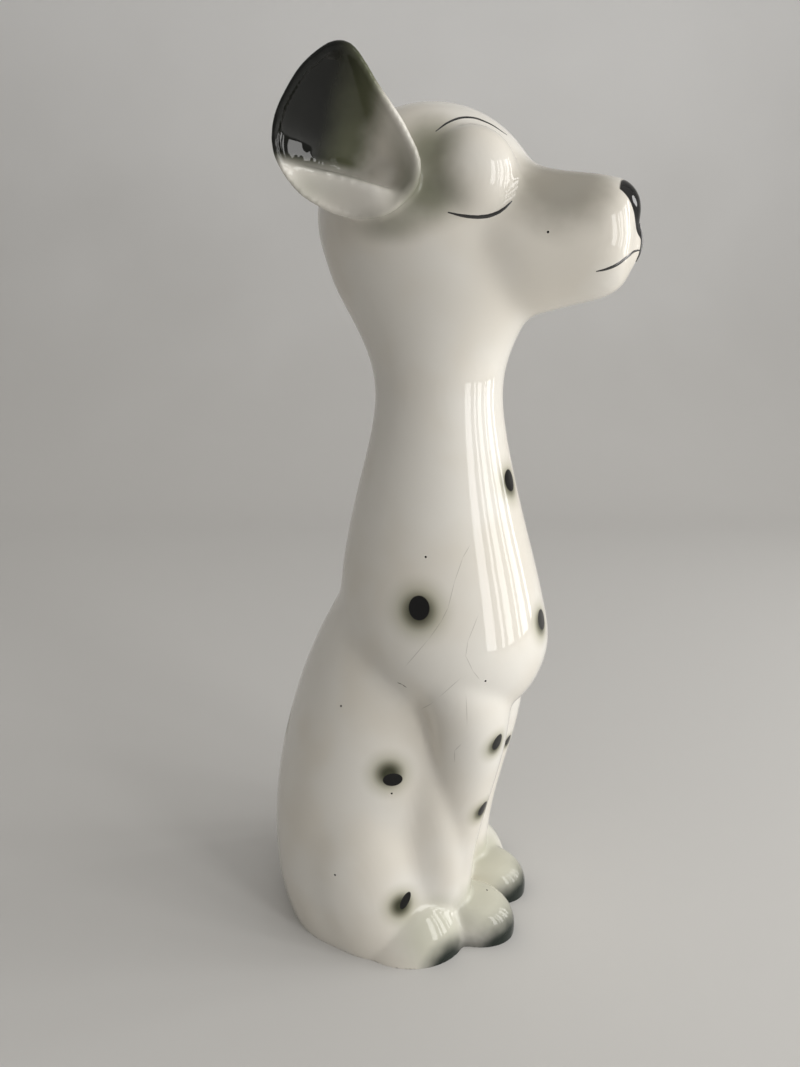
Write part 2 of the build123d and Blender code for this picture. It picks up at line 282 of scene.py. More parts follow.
# %% Skull and muzzle
skull = ball("skull", (-4.5, 0, 318), (45.8, 36.5, 42.2))
muzzle = column(
    "muzzle",
    [
        (14, -311, 24, 22),
        (24, -310, 29.5, 27.5),
        (36, -307.5, 28.5, 26.5),
        (45, -307, 26.2, 24.5),
        (55, -307.7, 24, 22.2),
        (65, -308, 22.9, 20.5),
        (71.5, -308.2, 20.8, 18),
        (75.5, -308.4, 17.2, 14.5),
        (77.5, -308.5, 11, 9.5),
    ],
    turn=(0, 90, 0),
)
chin = ball("chin", (62, 0, 298.5), (15, 13.5, 11.5))
figure = knead("figure", [neck_and_chest, rump, *thighs, *calves, skull, muzzle, chin], grain=1.6, rounds=56)
fatten(figure, 0.65)

# %% [markdown]
# ## Forelegs, lips and eyelids
# Both forelegs stand close together under the chest, lean back to the ankle and widen above into the
# shoulder. A web of clay fills the gap behind them, as in any mould that has to open. Two lip lobes and the
# tip of the nose round off the muzzle, and the closed lids are soft domes. These get less smoothing than the
# body, so the chest keeps its small overhang above the legs.

# %% Legs, web, lips, nose and lids
LEG_Y, PAW_Y = 17.5, 15
leg_rings = [
    (-8, 10.7, 12.5, 12.5),
    (14, 10.7, 12.8, 12.6),
    (27, 11.2, 12.6, 12.4),
    (39, 12.2, 12.8, 12.5),
    (53, 14, 13.4, 13),
    (74, 17.2, 15.2, 14.6),
    (90, 19.7, 16.7, 16.8),
    (105, 21.2, 17.5, 20.5),
    (118, 19.7, 20, 24),
    (130, 16.2, 22, 25.5),
    (142, 12.5, 20, 23.5),
    (152, 9.5, 12, 14),
]
legs = [column(f"leg_{side}", leg_rings, y=side * LEG_Y) for side in (-1, 1)]
web = ball("web", (8, 0, 50), (14, 12, 66))
lips = [ball(f"lip_{side}", (62.8, side * 7, 307.5), (15, 13.2, 15)) for side in (-1, 1)]
nose_tip = ball("nose_tip", (67.3, 0, 317.5), (12.2, 11, 12.5))
upper_lip = ball("upper_lip", (67, 0, 305.5), (13.4, 8, 14))
lids = [ball(f"lid_{side}", (17.4, side * 20.8, 328.6), (18.2, 16.2, 18.2)) for side in (-1, 1)]
face_lumps = [*lips, upper_lip, nose_tip, *lids]
figure = knead("figure_with_legs", [figure, *legs, web, *face_lumps], grain=1.4, rounds=14)
fatten(figure, 0.2)

# %% [markdown]
# ## Paws and hind feet
# A paw is a low column with a flat, rounded top. A hind foot is a low dome that comes forward from under the
# thigh, and the left one lies a little further forward, because its toe shows beside the leg. Neither has
# toes that part, as a simple mould gives them. They join last, so that their edges stay crisp.

# %% Paws and feet
paw_rings = [
    (-8, 24, 19.4, 14.8),
    (0, 24, 20.4, 15.3),
    (5, 24, 20.6, 15.4),
    (9.5, 23.8, 19.8, 15),
    (13.2, 23.2, 18, 13.8),
    (15.9, 22.4, 15, 11.6),
    (17.4, 21, 9.5, 7.5),
]
paws = [column(f"paw_{side}", paw_rings, y=side * PAW_Y) for side in (-1, 1)]
FOOT_HALF = (28, 24.8, 28)
FOOT_Y, RIGHT_FOOT_X, LEFT_FOOT_X = 28, -4, 4
feet = [
    ball("foot_right", (RIGHT_FOOT_X, -FOOT_Y, 0), FOOT_HALF),
    ball("foot_left", (LEFT_FOOT_X, FOOT_Y, 0), FOOT_HALF),
]
print("paws and feet:", [lobe.name for lobe in paws + feet])

# %% [markdown]
# ## Ears
# Each ear is a cupped leaf. Its rim is one closed curve in a plane beside the skull, with a straight front
# edge and a rounded point. The curve becomes a face at the back of the cup, which is extruded and resized
# ring by ring: out along the back, over the rim and down into the cup. The cup is deepest near the root, so
# its wall faces forward, and a fold along the bottom leaves a broad lower lip. The left ear is its mirror
# image.

# %% The ear's place and rings
EAR_ROOT = Vector((5, -41, 328))
EAR_TURN, EAR_LEAN = math.radians(20), math.radians(16)
EAR_BACK = Vector((-math.cos(EAR_TURN), -math.sin(EAR_TURN), 0))
EAR_OUT = Vector((math.sin(EAR_TURN), -math.cos(EAR_TURN), -math.tan(EAR_LEAN))).normalized()
EAR_UP = EAR_BACK.cross(EAR_OUT)
EAR_RIM = [
    (0, 0.4),
    (4.9, 13.4),
    (10.4, 21.3),
    (15.6, 28),
    (20.1, 34.6),
    (24.2, 39),
    (28.3, 40),
    (34.5, 37.8),
    (45.8, 27),
    (52.6, 10.3),
    (49.5, -0.5),
    (38, -13),
    (21.2, -16.9),
    (4.5, -9.2),
]
EAR_MIDDLE = Vector((33, 9, 0))
EAR_OUTSIDE = [(0.07, 21), (0.3, 20.6), (0.52, 18.8), (0.7, 15.8), (0.85, 11.6), (0.95, 6.6), (1, 2.6)]
EAR_EDGE = [(1, 0.8), (0.985, -0.3), (0.945, -0.5), (0.9, 0.6)]
EAR_INSIDE = [(0.86, 2.4), (0.79, 4.4), (0.68, 7.4), (0.54, 10.4), (0.38, 13), (0.2, 14.8), (0.06, 15.2)]
EAR_DEEPEST = Vector((18, 2, 0))
EAR_FOLD_START, EAR_FOLD_SLOPE = -8.7, 0.237
EAR_TUCK_FROM = Vector((34, -15, 0))
EAR_TUCK = 10
EAR_TUCK_REACH = 22


def ear_place():
    """Matrix from the ear's own directions (back, up and out, in mm) to the figure, in metres."""
    place = Matrix((EAR_BACK, EAR_UP, EAR_OUT)).transposed().to_4x4()
    place.translation = EAR_ROOT
    return Matrix.Scale(MM, 4) @ place


print("ear rings:", len(EAR_OUTSIDE + EAR_EDGE + EAR_INSIDE))

# %% A cupped leaf
def face_outwards(clay):
    """Turn the normals of a closed mesh outwards."""
    pick(clay)
    bpy.ops.object.mode_set(mode="EDIT")
    bpy.ops.mesh.select_all(action="SELECT")
    bpy.ops.mesh.normals_make_consistent(inside=False)
    bpy.ops.object.mode_set(mode="OBJECT")


def cupped_leaf(name):
    """The right ear as a closed, cupped shell."""
    clear_selection()
    bpy.ops.curve.primitive_bezier_circle_add()
    rim = bpy.context.object
    spline = rim.data.splines[0]
    spline.bezier_points.add(len(EAR_RIM) - len(spline.bezier_points))
    for point, (back, up) in zip(spline.bezier_points, EAR_RIM):
        point.co = (back, up, 0)
        point.handle_left_type = "AUTO"
        point.handle_right_type = "AUTO"
    rim.data.resolution_u = 6
    bpy.ops.object.convert(target="MESH")
    leaf = bpy.context.object
    leaf.name = name
    bpy.ops.object.mode_set(mode="EDIT")
    bpy.ops.mesh.select_all(action="SELECT")
    bpy.ops.mesh.remove_doubles(threshold=0.01)
    bpy.ops.mesh.edge_face_add()
    bpy.ops.object.mode_set(mode="OBJECT")
    rim_points = len(leaf.data.vertices)
    bpy.ops.object.mode_set(mode="EDIT")
    share, depth = 1, 0
    for next_share, next_depth in EAR_OUTSIDE + EAR_EDGE + EAR_INSIDE:
        if depth:
            bpy.ops.mesh.extrude_region_move()
        bpy.ops.transform.translate(value=(0, 0, depth - next_depth))
        shrink = next_share / share
        middle = EAR_DEEPEST if (next_share, next_depth) in EAR_INSIDE else EAR_MIDDLE
        bpy.ops.transform.resize(value=(shrink, shrink, 1), center_override=middle)
        share, depth = next_share, next_depth
    bpy.ops.object.mode_set(mode="OBJECT")
    cup = leaf.data.vertices[-len(EAR_INSIDE) * rim_points :]
    for corner in cup:
        corner.co.y = max(corner.co.y, EAR_FOLD_START + EAR_FOLD_SLOPE * corner.co.x)
    for corner in leaf.data.vertices:
        away = (corner.co - EAR_TUCK_FROM).xy.length / EAR_TUCK_REACH
        corner.co.z -= EAR_TUCK * max(0, 1 - away**2) ** 2
    leaf.matrix_world = ear_place()
    bpy.ops.object.transform_apply(location=True, rotation=True, scale=True)
    face_outwards(leaf)
    return leaf


right_leaf = cupped_leaf("leaf_right")
print("leaf:", len(right_leaf.data.polygons), "faces")

# %% Its mirror image
def mirrored(clay, name):
    """A copy of a piece on the other side of the dog, with its own mesh."""
    pick(clay)
    bpy.ops.object.duplicate()
    twin = bpy.context.object
    twin.name = name
    twin.scale.y = -1
    bpy.ops.object.transform_apply(location=False, rotation=False, scale=True)
    face_outwards(twin)
    return twin


left_leaf = mirrored(right_leaf, "leaf_left")
print("ears:", right_leaf.name, "and", left_leaf.name)

# %% [markdown]
# ## One skin
# All the lumps are kneaded into one fine skin. Only a few rounds of smoothing are left, as much as a coat of
# glaze fills, so a crease keeps a radius of about two millimetres and catches the light. A block in place of
# the ground then cuts the foot flat.

# %% Blocks that cut
def block(name, corners):
    """A convex block around some corners in mm, for cutting."""
    clear_selection()
    bpy.ops.mesh.primitive_plane_add(size=MM)
    tool = bpy.context.object
    tool.name = name
    bpy.ops.object.mode_set(mode="EDIT")
    bpy.ops.mesh.select_all(action="SELECT")
    bpy.ops.mesh.delete(type="VERT")
    bpy.ops.object.mode_set(mode="OBJECT")
    tool.data.from_pydata([Vector(corner) * MM for corner in corners], [], [])
    bpy.ops.object.mode_set(mode="EDIT")
    bpy.ops.mesh.select_all(action="SELECT")
    bpy.ops.mesh.convex_hull()
    bpy.ops.object.mode_set(mode="OBJECT")
    return tool


def box_corners(low, high):
    """The eight corners of an upright box."""
    return [(x, y, z) for x in (low[0], high[0]) for y in (low[1], high[1]) for z in (low[2], high[2])]


def carve(clay, tool, operation):
    """Keep what lies inside or outside a block."""
    pick(clay)
    bpy.ops.object.modifier_add(type="BOOLEAN")
    knife = clay.modifiers[-1]
    knife.object = tool
    knife.operation = operation
    knife.solver = "MANIFOLD"
    bpy.ops.object.modifier_apply(modifier=knife.name)
    return clay


def throw_away(*things):
    """Delete helpers that have done their work."""
    clear_selection()
    for thing in things:
        thing.select_set(True)
    bpy.ops.object.delete()


print("cutting tools ready")

# %% The glazed skin
SKIN_GRAIN = 1.15
AROUND, GROUND_DEEP = 120, 60

skin = knead("skin", [figure, *paws, *feet, right_leaf, left_leaf], SKIN_GRAIN, rounds=5)
ground = block("ground", box_corners((-AROUND, -AROUND, -GROUND_DEEP), (AROUND, AROUND, 0)))
carve(skin, ground, "DIFFERENCE")
throw_away(ground)
print("skin:", len(skin.data.polygons), "faces,", [round(v / MM, 1) for v in skin.dimensions], "mm")

# %% [markdown]
# ## Where the brush went
# The face is painted with a fine brush: a brow and a lash line on each side, the mouth, and a line from the
# nose to the lips. Each stroke follows a few pixels of the photograph onto the skin, and becomes a tapered
# bead of enamel, sunk so far that it hardly stands out. Only the line below the nose stands proud, so that it
# shows along the profile. The far side gets the mirror image.

# %% Finding places on the skin
AHEAD = 200


def on_skin(start, way):
    """First place in mm, and its normal, where a ray meets the skin."""
    hit, place, normal, _ = skin.ray_cast(Vector(start) * MM, Vector(way))
    assert hit, f"no skin from {tuple(start)} along {tuple(way)}"
    return place / MM, normal


def seen_at(pixel):
    """Place and normal that the photograph shows at a pixel."""
    return on_skin(CAMERA_PLACE, photo_ray(pixel))


def from_ahead(y, z):
    """Place and normal that a look from ahead of the dog finds."""
    return on_skin((AHEAD, y, z), (-1, 0, 0))


def smooth_line(points, steps):
    """A smooth open line through a few points, as a list of many."""
    clear_selection()
    bpy.ops.curve.primitive_bezier_curve_add()
    line = bpy.context.object
    spline = line.data.splines[0]
    spline.bezier_points.add(len(points) - len(spline.bezier_points))
    for point, place in zip(spline.bezier_points, points):
        point.co = (*place, 0, 0)[:3]
        point.handle_left_type = "AUTO"
        point.handle_right_type = "AUTO"
    line.data.resolution_u = steps
    bpy.ops.object.convert(target="MESH")
    places = [corner.co.copy() for corner in bpy.context.object.data.vertices]
    bpy.ops.object.delete()
    return places


print("nose tip at", [round(v, 1) for v in from_ahead(0, 318)[0]])

# %% A bead of enamel
STROKE_SINK = 0.7
STROKE_POINT = 0.25


def bead(name, places, normals, thick, sink=STROKE_SINK):
    """A tapered bead on the skin, thick in mm at its middle and sunk by a share of its radius."""
    clear_selection()
    bpy.ops.curve.primitive_nurbs_path_add()
    line = bpy.context.object
    line.name = name
    line.data.splines.clear()
    spline = line.data.splines.new("POLY")
    spline.points.add(len(places) - 1)
    for step, (point, place, normal) in enumerate(zip(spline.points, places, normals)):
        swell = math.sin(math.pi * (step + 0.5) / len(places)) ** 0.8
        point.radius = STROKE_POINT + (1 - STROKE_POINT) * swell
        sunk = place - normal * sink * thick / 2 * point.radius
        point.co = (*(sunk * MM), 1)
    line.data.bevel_depth = thick / 2 * MM
    line.data.bevel_resolution = 4
    line.data.use_fill_caps = True
    line.location = (0, 0, 0)
    bpy.ops.object.convert(target="MESH")
    made = bpy.context.object
    face_outwards(made)
    bpy.ops.object.shade_smooth()
    return made


print("beads sink by", STROKE_SINK, "of their radius")

# %% Brush strokes
LASH = [(447.8, 212.3), (462.8, 215.7), (477.9, 217), (492.9, 214.6), (504.2, 208.5), (512.1, 201)]
BROW = [(435.6, 131.4), (450, 121.5), (467.5, 117.3), (488, 123), (507, 135)]
MOUTH = [(596, 271.6), (607.7, 268.7), (618, 264), (626, 258)]
MOUTH_RISE, MOUTH_STEPS = 3.5, 12


def to_the_middle(place):
    """Places and normals from a place on the muzzle round its front to the middle."""
    places = []
    for step in range(1, MOUTH_STEPS + 1):
        share = step / MOUTH_STEPS
        height = place.z + MOUTH_RISE * share * (2 - share)
        places.append(from_ahead(place.y * (1 - share), height))
    return places


def stroke(name, pixels, thick, closes=False):
    """A brush stroke through pixels of the photograph. It may close round the front of the muzzle."""
    found = [seen_at((place.x, place.y)) for place in smooth_line(pixels, steps=8)]
    if closes:
        found += to_the_middle(found[-1][0])
        print(name, "meets the middle at", [round(v, 1) for v in found[-1][0]])
    return bead(name, [place for place, _ in found], [normal for _, normal in found], thick)


strokes = []
for name, pixels, thick in (("lash", LASH, 2.0), ("brow", BROW, 1.9), ("mouth", MOUTH, 2.0)):
    strokes.append(stroke(f"right_{name}", pixels, thick, closes=name == "mouth"))
    strokes.append(mirrored(strokes[-1], f"left_{name}"))
    bpy.ops.object.shade_smooth()
print("strokes:", [piece.name for piece in strokes])

# %% The line below the nose
PHILTRUM_TOP, PHILTRUM_END, PHILTRUM_STEPS = 313, 299, 24
PHILTRUM_THICK, PHILTRUM_SINK = 1.7, 0.1

middle_line = []
for step in range(PHILTRUM_STEPS + 1):
    height = PHILTRUM_TOP + (PHILTRUM_END - PHILTRUM_TOP) * step / PHILTRUM_STEPS
    middle_line.append(from_ahead(0, height))
middle_places, middle_normals = zip(*middle_line)
strokes.append(bead("philtrum", middle_places, middle_normals, PHILTRUM_THICK, PHILTRUM_SINK))
print("last stroke:", strokes[-1].name)

# %% [markdown]
# ## Where the spots are
# The spots are painted below the glaze, each a black oval in a soft olive halo. On the side that the
# photograph shows, a spot is placed by its pixel. The others are guessed, on places where a spray of spots
# would go on. Age shows too: pinholes in the glaze, a scratch, and hairline cracks that run down the chest
# and the leg.

# %% Spots
SEEN_SPOTS = [
    # core pixel, half length and half width in mm, tilt in degrees, halo pixel, halo radius in mm
    ((419, 608), 5.0, 4.3, 90, (418.5, 611), 10.5),
    ((392.8, 779.8), 4.3, 2.9, 0, (389, 774), 8.6),
    ((405.5, 900.5), 4.0, 2.0, 56, (401, 905.5), 7.6),
    ((509.6, 480.2), 4.6, 4.4, 90, (509.6, 483), 8.4),
    ((541.6, 619.4), 4.4, 4.2, 90, (541, 622.5), 8.2),
    ((497.5, 742), 3.7, 2.9, 70, (496, 745), 6.4),
    ((483, 808.5), 3.5, 2.7, 65, (481.5, 811), 6.2),
    ((508.2, 740), 2.6, 2.2, 75, (507.2, 742), 4.5),
]
GUESSED_SPOTS = [
    # a place beside, behind or before the dog, the way to look from there, half length and half width in mm
    ((12, 150, 172), (0, -1, 0), 4.6, 4.2),
    ((-28, 150, 118), (0, -1, 0), 4.2, 3.2),
    ((-14, 150, 58), (0, -1, 0), 4.4, 3.4),
    ((4, 150, 222), (0, -1, 0), 3.8, 3.4),
    ((-150, 14, 146), (1, 0, 0), 4.4, 3.8),
    ((-150, -16, 92), (1, 0, 0), 4.2, 3.6),
    ((-150, 24, 52), (1, 0, 0), 4.0, 3.4),
    ((-150, -6, 206), (1, 0, 0), 4.0, 3.6),
    ((18, 150, 66), (0, -1, 0), 3.4, 2.7),
]
GUESSED_TILT = 12
HALO_REACH = 2.1
print("spots:", len(SEEN_SPOTS), "seen and", len(GUESSED_SPOTS), "guessed")

# %% Pinholes, cracks and a scratch
SPECKS = [(548, 232), (485.5, 681), (391.7, 793.5), (341, 706), (425.7, 557), (335, 875), (487, 890)]
SPECK_HALF = (0.45, 0.45, 0.45)
HAIRLINES = [
    # pixels along each crack
    [
        (469.6, 545.8),
        (462.9, 557.4),
        (454.6, 581.4),
        (448, 608),
        (441.4, 621.2),
        (429.8, 637.8),
        (405, 666.8),
    ],
    [(477.8, 616.2), (467.9, 641.1), (465.7, 656), (472.9, 671), (479.5, 679.3)],
    [(420, 710), (434.7, 700.8), (463, 676)],
    [(466, 696), (467, 724)],
    [(461.3, 744), (454.6, 750.6), (454.6, 762)],
]
HAIRLINE_WIDE, HAIRLINE_DEEP, HAIRLINE_OVERLAP = 0.22, 4, 1.35
SCRATCH = [(397.4, 682.6), (402, 684.4), (406.5, 687.5)]
print("cracks:", len(HAIRLINES))

# %% Patches of paint on the skin
def spot_turn(normal, right, up, tilt):
    """Rotation whose X runs along a spot's length on the skin and whose Z stands out of it."""
    slope = math.radians(tilt)
    along = right * math.cos(slope) + up * math.sin(slope)
    along = (along - normal * along.dot(normal)).normalized()
    across = normal.cross(along)
    return Matrix((along, across, normal)).transposed().to_euler()


def line_patches(kind, pixels, half_wide):
    """Thin patches end to end along a line of pixels."""
    found = []
    for pixel, next_pixel in zip(pixels, pixels[1:]):
        (start, normal), (end, _) = seen_at(pixel), seen_at(next_pixel)
        turn = spot_turn(normal, end - start, end - start, 0)
        half_long = (end - start).length * HAIRLINE_OVERLAP / 2
        found.append((kind, (start + end) / 2, (half_long, half_wide, HAIRLINE_DEEP), turn))
    return found


view = camera.matrix_world.to_3x3()
patches = []
for core, length, width, tilt, halo, reach in SEEN_SPOTS:
    place, normal = seen_at(core)
    turn = spot_turn(normal, view.col[0], view.col[1], tilt)
    patches.append(("halo", seen_at(halo)[0], (reach, reach, reach), turn))
    patches.append(("core", place, (length, width, length), turn))
for start, way, length, width in GUESSED_SPOTS:
    place, normal = on_skin(start, way)
    turn = spot_turn(normal, Vector((0, 0, 1)), Vector((1, 1, 0)), GUESSED_TILT)
    patches.append(("halo", place, (HALO_REACH * length, HALO_REACH * width, HALO_REACH * length), turn))
    patches.append(("core", place, (length, width, length), turn))
for pixel in SPECKS:
    patches.append(("core", seen_at(pixel)[0], SPECK_HALF, Matrix.Identity(3).to_euler()))
for pixels in HAIRLINES:
    patches += line_patches("hairline", pixels, HAIRLINE_WIDE)
patches += line_patches("scratch", SCRATCH, 2 * HAIRLINE_WIDE)
print("painted patches:", len(patches))

# %% Where the airbrush was held, and where shade is painted
# Place of the painted shade on the left part of the ear's lower lip.
SHADED_EAR_LIP = Vector((40, -7, -4))

# Behind and below the eye the olive is airbrushed; below the ear's root it is a painted shadow.
behind_eye, below_eye, shadow_below_ear = [seen_at(pixel)[0] for pixel in ((430, 150), (428, 196), (392, 226))]
shaded_ear_lip = ear_place() @ SHADED_EAR_LIP / MM
print("airbrush behind the eye at", [round(v, 1) for v in behind_eye])

# %% [markdown]
# ## Cutting the castings apart
# The skin is cut where the castings meet: the hind feet, the forelegs, the head at the neck seam, and the
# ears from the head. Boolean blocks leave closed pieces. A cut through a smooth skin would show in the gloss,
# so each piece takes its shading normals back from the uncut skin.

# %% Corners of the blocks
EAR_BLOCK = [(-4, 10), (62, 10), (62, -34), (34, -27), (-4, -3)]
EAR_BLOCK_LOW, EAR_BLOCK_HIGH = -26, 50
ABOVE_HEAD = 420
LEG_BLOCK = box_corners((9, -37, -2), (62, 0, 112))
FOOT_BLOCK = [
    (15, -64, 39),
    (15, -30.6, 33),
    (-20, -64, 3),
    (-20, -30.6, 3),
    (-20, -64, -2),
    (-20, -30.6, -2),
    (34, -64, -2),
    (34, -30.6, -2),
    (34, -64, 39),
    (34, -30.6, 33),
]
ear_corners = []
for back, out in EAR_BLOCK:
    for up in (EAR_BLOCK_LOW, EAR_BLOCK_HIGH):
        ear_corners.append(ear_place() @ Vector((back, up, out)) / MM)
print("block corners:", len(ear_corners), "round an ear,", len(FOOT_BLOCK), "round a foot")

# %% Castings
def copy_of(clay, name):
    """A copy of a piece with its own mesh."""
    pick(clay)
    bpy.ops.object.duplicate()
    bpy.context.object.name = name
    return bpy.context.object


def cut_off(clay, name, corners):
    """Split what lies inside a block from a piece, as a piece of its own."""
    tool = block(f"{name}_block", corners)
    part = carve(copy_of(clay, name), tool, "INTERSECT")
    carve(clay, tool, "DIFFERENCE")
    throw_away(tool)
    return part


def other_side(corners):
    """The same corners, mirrored."""
    return [(x, -y, z) for x, y, z in corners]


whole = copy_of(skin, "whole_skin")
castings = {}
for side, turned_round in (("right", list), ("left", other_side)):
    castings[f"{side}_hind_foot"] = cut_off(skin, f"glazed_{side}_hind_foot", turned_round(FOOT_BLOCK))
    castings[f"{side}_foreleg"] = cut_off(skin, f"glazed_{side}_foreleg", turned_round(LEG_BLOCK))
above_seam = box_corners((-AROUND, -AROUND, NECK_SEAM), (AROUND, AROUND, ABOVE_HEAD))
head = cut_off(skin, "glazed_head", above_seam)
for side, turned_round in (("right", list), ("left", other_side)):
    castings[f"{side}_ear"] = cut_off(head, f"glazed_{side}_ear", turned_round(ear_corners))
castings["head_casting"] = head
castings["body_casting"] = skin
skin.name = "glazed_body"
print("castings:", list(castings))

# %% Shading from the uncut skin
for node_name, piece in castings.items():
    pick(piece)
    bpy.ops.object.modifier_add(type="DATA_TRANSFER")
    shading = piece.modifiers[-1]
    shading.object = whole
    shading.use_loop_data = True
    shading.data_types_loops = {"CUSTOM_NORMAL"}
    shading.loop_mapping = "POLYINTERP_NEAREST"
    bpy.ops.object.modifier_apply(modifier=shading.name)
    print(node_name, "has", len(piece.data.polygons), "faces")
throw_away(whole)

# %% [markdown]
# ## Glaze
# One glaze covers everything: a cream white with an airbrushed underpaint, some painted shade below the ear,
# on the ear's lower lip and, with airbrush, on top of the muzzle, and a clear gloss coat. All its paint is
# soft ovals in the figure's own place: a Mapping node turns a place into steps of the oval's half sizes, and
# the length of that vector fades the paint out. The same paint lies on both sides where the airbrush was used
# alike, so those ovals read a place that is folded over to the right side.

# %% Paint tools
def linear(red, green, blue):
    """A colour as a screen shows it, 0 to 255, for the shader."""
    levels = []
    for level in (red, green, blue):
        share = level / 255
        levels.append(((share + 0.055) / 1.055) ** 2.4 if level > 10 else share / 12.92)
    return (*levels, 1)


class Paints:
    """Adds nodes to one material."""

    def __init__(self, name):
        self.material = bpy.data.materials.new(name)
        self.material.use_nodes = True
        self.tree = self.material.node_tree
        self.surface = self.tree.nodes["Principled BSDF"]
        coordinates = self.tree.nodes.new("ShaderNodeTexCoord")
        self.place = self.vector("SCALE", coordinates.outputs["Object"], scale=1 / MM)

    def give(self, socket, value):
        """Link a socket, or set it."""
        if isinstance(value, bpy.types.NodeSocket):
            self.tree.links.new(value, socket)
        else:
            socket.default_value = value

    def vector(self, operation, first, scale=None):
        """A vector sum."""
        node = self.tree.nodes.new("ShaderNodeVectorMath")
        node.operation = operation
        self.give(node.inputs[0], first)
        if scale is not None:
            self.give(node.inputs["Scale"], scale)
        return node.outputs["Value" if operation == "LENGTH" else "Vector"]

    def sum(self, operation, first, second=0.0):
        """A sum of two numbers."""
        node = self.tree.nodes.new("ShaderNodeMath")
        node.operation = operation
        self.give(node.inputs[0], first)
        self.give(node.inputs[1], second)
        return node.outputs[0]

    def fade(self, value, full, none):
        """A soft step: 1 where the value is at full, 0 where it is at none."""
        node = self.tree.nodes.new("ShaderNodeMapRange")
        node.interpolation_type = "SMOOTHSTEP"
        self.give(node.inputs["Value"], value)
        self.give(node.inputs["From Min"], full)
        self.give(node.inputs["From Max"], none)
        self.give(node.inputs["To Min"], 1.0)
        self.give(node.inputs["To Max"], 0.0)
        return node.outputs[0]

    def oval(self, place, middle, half, turn=(0, 0, 0)):
        """Distance from the middle of an oval, in its half sizes."""
        node = self.tree.nodes.new("ShaderNodeMapping")
        node.vector_type = "TEXTURE"
        self.give(node.inputs["Vector"], place)
        self.give(node.inputs["Location"], middle)
        self.give(node.inputs["Rotation"], turn)
        self.give(node.inputs["Scale"], half)
        return self.vector("LENGTH", node.outputs[0])

    def split(self, place):
        """A place as three numbers."""
        node = self.tree.nodes.new("ShaderNodeSeparateXYZ")
        self.give(node.inputs[0], place)
        return node.outputs

    def turned(self, place, middle, axes):
        """A place along three axes from a middle, as three numbers."""
        node = self.tree.nodes.new("ShaderNodeMapping")
        node.vector_type = "TEXTURE"
        self.give(node.inputs["Vector"], place)
        self.give(node.inputs["Location"], middle)
        self.give(node.inputs["Rotation"], Matrix(axes).transposed().to_euler())
        return self.split(node.outputs[0])

    def noise(self, place, size, detail=2.0):
        """Soft noise with lumps of about a size in mm."""
        node = self.tree.nodes.new("ShaderNodeTexNoise")
        self.give(node.inputs["Vector"], place)
        self.give(node.inputs["Scale"], 1 / size)
        self.give(node.inputs["Detail"], detail)
        return node.outputs[0]

    def coat_over(self, under, over, amount):
        """Paint one colour over another by an amount."""
        node = self.tree.nodes.new("ShaderNodeMix")
        node.data_type = "RGBA"
        self.give(node.inputs["Factor"], amount)
        self.give(node.inputs["A"], under)
        self.give(node.inputs["B"], over)
        return node.outputs["Result"]

    def finish(self, colour, levels):
        """Give the surface its colour, and plain levels on its other sockets."""
        self.give(self.surface.inputs["Base Color"], colour)
        for socket, level in levels.items():
            self.surface.inputs[socket].default_value = level
        return self.material


print("paint tools ready")

# %% Colours
CREAM, WARM_CREAM = linear(233, 230, 223), linear(228, 223, 213)
OLIVE, OLIVE_BLACK = linear(104, 107, 84), linear(9, 12, 9)
CELADON, TOE_GREEN = linear(192, 192, 175), linear(30, 38, 33)
# Grey on top of the muzzle: partly airbrush, partly painted shade.
MUZZLE_GREY_AND_SHADE = linear(112, 107, 93)
LINE_BROWN, LINE_STRENGTH = linear(92, 84, 70), {"hairline": 0.27, "scratch": 0.8}
SPOT_OLIVE, SPOT_HALO, SPOT_BLACK = linear(150, 148, 118), linear(44, 46, 26), linear(7, 7, 7)
THIN_BLACK = linear(24, 22, 20)
print("cream is", [round(v, 3) for v in CREAM[:3]])

# %% Airbrush and painted shade
AIRBRUSH_AND_SHADE = [
    # colour, middle, half sizes, strength, where it is full and where it ends, in half sizes
    (OLIVE, behind_eye, (16, 16, 24), 0.8, 0.1, 1.15),
    (OLIVE, below_eye, (17, 16, 12), 0.75, 0.1, 1.2),
    # painted shadow below the ear's root
    (OLIVE, shadow_below_ear, (17, 14, 7), 0.5, 0.1, 1.2),
    # painted shade on the ear's lower lip
    (OLIVE, shaded_ear_lip, (17, 12, 10), 0.4, 0.1, 1.2),
    (OLIVE, (32, -16, 321), (10, 13, 12), 0.3, 0.1, 1.2),
    # top of the muzzle: airbrushed grey and painted shade together
    (MUZZLE_GREY_AND_SHADE, (50, -10, 322), (26, 25, 21), 0.65, 0.45, 1.1),
    (CELADON, (32, -15, 14), (22, 20, 16), 0.8, 0.5, 1.2),
    (CELADON, (14, -42, 12), (19, 18, 18), 0.8, 0.4, 1.2),
    (TOE_GREEN, (40, -15, -5), (23, 25, 20), 1.0, 0.55, 1.12),
    (TOE_GREEN, (24, -43, -5), (18, 18, 18), 1.0, 0.5, 1.12),
]
OVAL_GRAIN = 0.18


def airbrushed_and_shaded(paints, colour, folded, spray):
    """Soft ovals of airbrushed colour and of painted shade, alike on both sides, with a grainy edge."""
    grain = paints.sum("MULTIPLY", spray, OVAL_GRAIN)
    for tint, middle, half, strength, full, none in AIRBRUSH_AND_SHADE:
        reach = paints.sum("ADD", paints.oval(folded, middle, half), grain)
        amount = paints.sum("MULTIPLY", paints.fade(reach, full, none), strength)
        colour = paints.coat_over(colour, tint, amount)
    return colour


print("airbrushed ovals:", len(AIRBRUSH_AND_SHADE))

# %% Ear paint
EAR_OLIVE_STARTS, EAR_OLIVE_FULL, EAR_BLACK_STARTS, EAR_BLACK_FULL = 14, 27, 23, 42
EAR_SLANT, EAR_GRAIN = 0.3, 5.0
EAR_FOLD_ABOVE, EAR_FOLD_BELOW = -4.0, 2.2
EAR_PAINT_UNTIL, EAR_PAINT_DEEP = 20, 24


